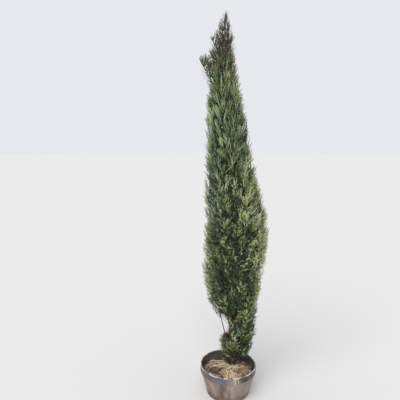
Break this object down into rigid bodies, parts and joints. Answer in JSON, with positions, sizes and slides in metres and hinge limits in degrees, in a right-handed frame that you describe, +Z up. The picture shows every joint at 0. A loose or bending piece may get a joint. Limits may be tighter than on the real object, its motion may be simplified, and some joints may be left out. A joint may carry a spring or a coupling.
{
  "type": "potted italian cypress tree",
  "caption": "Slender columnar evergreen tree in a wide low nursery pot, with steep boughs and feathery plumes of scale-leaved foliage.",
  "frame": {"origin": "centre of the pot's flat underside, on the ground", "axes": "+Z up, +X to the viewer's right in the usual view, +Y away from the viewer"},
  "size_m": [0.3949, 0.3592, 2.106],
  "materials": {
    "pot_plastic": "matte",
    "soil": "matte",
    "bark": "matte",
    "foliage": "satin"
  },
  "bodies": {
    "root": {"pot": "pot_plastic", "potting_soil": "soil", "trunk": "bark", "bough_skirt_1": "bark", "bough_skirt_2": "bark", "bough_skirt_3": "bark", "bough_skirt_4": "bark", "bough_skirt_5": "bark", "bough_lower_1": "bark", "bough_lower_2": "bark", "bough_lower_3": "bark", "bough_lower_4": "bark", "bough_lower_5": "bark", "bough_middle_1": "bark", "bough_middle_2": "bark", "bough_middle_3": "bark", "bough_middle_4": "bark", "bough_middle_5": "bark", "bough_upper_1": "bark", "bough_upper_2": "bark", "bough_upper_3": "bark", "bough_upper_4": "bark", "bough_upper_5": "bark", "bough_high_1": "bark", "bough_high_2": "bark", "bough_high_3": "bark", "bough_high_4": "bark", "foliage_skirt_1": "foliage", "foliage_skirt_2": "foliage", "foliage_skirt_3": "foliage", "foliage_skirt_4": "foliage", "foliage_skirt_5": "foliage", "foliage_lower_1": "foliage", "foliage_lower_2": "foliage", "foliage_lower_3": "foliage", "foliage_lower_4": "foliage", "foliage_lower_5": "foliage", "foliage_middle_1": "foliage", "foliage_middle_2": "foliage", "foliage_middle_3": "foliage", "foliage_middle_4": "foliage", "foliage_middle_5": "foliage", "foliage_upper_1": "foliage", "foliage_upper_2": "foliage", "foliage_upper_3": "foliage", "foliage_upper_4": "foliage", "foliage_upper_5": "foliage", "foliage_high_1": "foliage", "foliage_high_2": "foliage", "foliage_high_3": "foliage", "foliage_high_4": "foliage", "foliage_crest_1": "foliage", "foliage_crest_2": "foliage", "foliage_crest_3": "foliage", "foliage_top_1": "foliage", "foliage_top_2": "foliage", "foliage_top_3": "foliage", "foliage_side": "foliage", "foliage_left_tip": "foliage", "foliage_leader": "foliage"}
  },
  "joints": []
}
